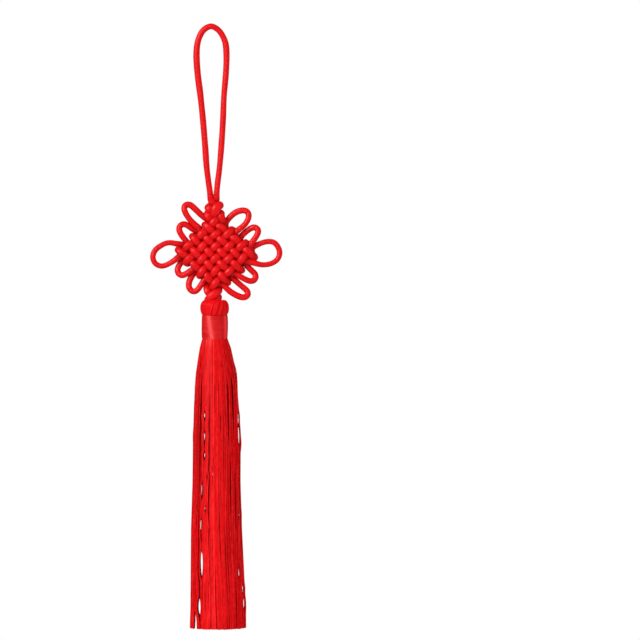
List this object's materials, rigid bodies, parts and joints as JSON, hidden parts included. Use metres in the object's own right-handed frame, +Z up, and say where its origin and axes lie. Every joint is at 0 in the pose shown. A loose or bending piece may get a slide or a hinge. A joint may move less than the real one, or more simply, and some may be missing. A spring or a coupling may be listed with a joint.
{
  "type": "hanging chinese knot tassel",
  "caption": "Red hanging ornament: a cord loop above a woven pan chang knot with looped ears, and a bound thread tassel with a long straight skirt below it.",
  "frame": {"origin": "inside top of the hanging loop, where a hook or nail carries it", "axes": "+Z up along the hanging line, face of the knot towards -Y, +X to the right of the face"},
  "size_m": [0.053, 0.0216, 0.242],
  "materials": {
    "satin_cord": "satin",
    "tassel_thread": "silky",
    "band_thread": "glossy satin"
  },
  "bodies": {
    "root": {"hanging_loop": "satin_cord", "knot": "satin_cord", "tassel": "tassel_thread", "tassel_band": "band_thread"}
  },
  "joints": []
}
